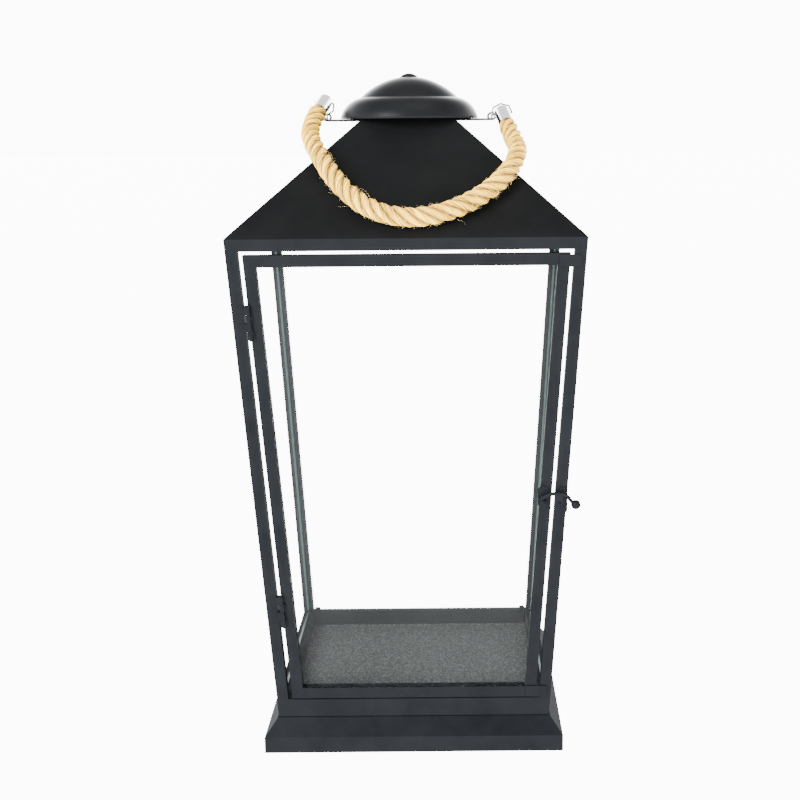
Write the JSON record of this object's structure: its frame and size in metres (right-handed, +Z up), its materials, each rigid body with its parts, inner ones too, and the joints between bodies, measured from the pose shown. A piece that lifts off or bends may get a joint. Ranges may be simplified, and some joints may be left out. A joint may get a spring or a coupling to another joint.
{
  "type": "candle lantern",
  "caption": "Tapered black metal and glass lantern on a plinth, with a pyramid roof, round vent cap, latched front door and thick rope swing handle.",
  "frame": {"origin": "middle of the plinth's underside, on the surface the lantern stands on", "axes": "+Z up, -Y towards the door side, +X to the latch side"},
  "size_m": [0.3, 0.3039, 0.5957],
  "materials": {
    "black_metal": "satin powder coat",
    "grey_coat": "speckled powder coat",
    "steel": "plain",
    "chrome": "bright",
    "clear_glass": "clear",
    "jute": "laid natural fibre"
  },
  "bodies": {
    "lantern": {"base_plinth": "black_metal", "post_front_left": "black_metal", "post_front_right": "black_metal", "post_rear_left": "black_metal", "post_rear_right": "black_metal", "bottom_rail_front": "black_metal", "bottom_rail_right": "black_metal", "bottom_rail_rear": "black_metal", "bottom_rail_left": "black_metal", "top_rail_front": "black_metal", "top_rail_right": "black_metal", "top_rail_rear": "black_metal", "top_rail_left": "black_metal", "roof_panel_front": "black_metal", "roof_panel_right": "black_metal", "roof_panel_rear": "black_metal", "roof_panel_left": "black_metal", "roof_top_plate": "black_metal", "dome_cap": "black_metal", "finial_screw": "black_metal", "glass_tabs_right": "black_metal", "glass_tabs_rear": "black_metal", "glass_tabs_left": "black_metal", "hinge_lugs_upper": "black_metal", "hinge_lugs_lower": "black_metal", "hinge_pin_upper": "black_metal", "hinge_pin_lower": "black_metal", "catch_plate": "black_metal", "catch_pin": "black_metal", "floor_pan": "grey_coat", "cap_spacer": "steel", "finial_nut": "steel", "glass_right": "clear_glass", "glass_rear": "clear_glass", "glass_left": "clear_glass"},
    "door": {"door_stile_left": "black_metal", "door_stile_right": "black_metal", "door_rail_top": "black_metal", "door_rail_bottom": "black_metal", "door_glass_tabs": "black_metal", "hinge_knuckles_upper": "black_metal", "hinge_knuckles_lower": "black_metal", "latch_door_plate": "black_metal", "latch_pivot": "black_metal", "door_stop_upper": "black_metal", "door_stop_lower": "black_metal", "door_glass": "clear_glass"},
    "latch": {"latch_lever": "black_metal", "latch_ball": "black_metal"},
    "handle": {"eye_pin_left": "steel", "eye_pin_right": "steel", "link_left": "steel", "link_right": "steel", "ferrule_left": "chrome", "ferrule_right": "chrome", "rope_grip": "jute"}
  },
  "joints": [
    {"name": "door_hinge", "type": "hinge", "parent": "lantern", "child": "door", "pos_m": [-0.12059, -0.13699, 0.23], "axis": [0.0673, 0.0673, -0.9955], "range_deg": [0, 165]},
    {"name": "latch_pivot", "type": "hinge", "parent": "door", "child": "latch", "pos_m": [0.11419, -0.13459, 0.23], "axis": [0, -0.9977, -0.0674], "range_deg": [0, 75]},
    {"name": "handle_swing", "type": "hinge", "parent": "lantern", "child": "handle", "pos_m": [0, 0, 0.5542], "axis": [-1, 0, 0], "range_deg": [0, 210]}
  ]
}
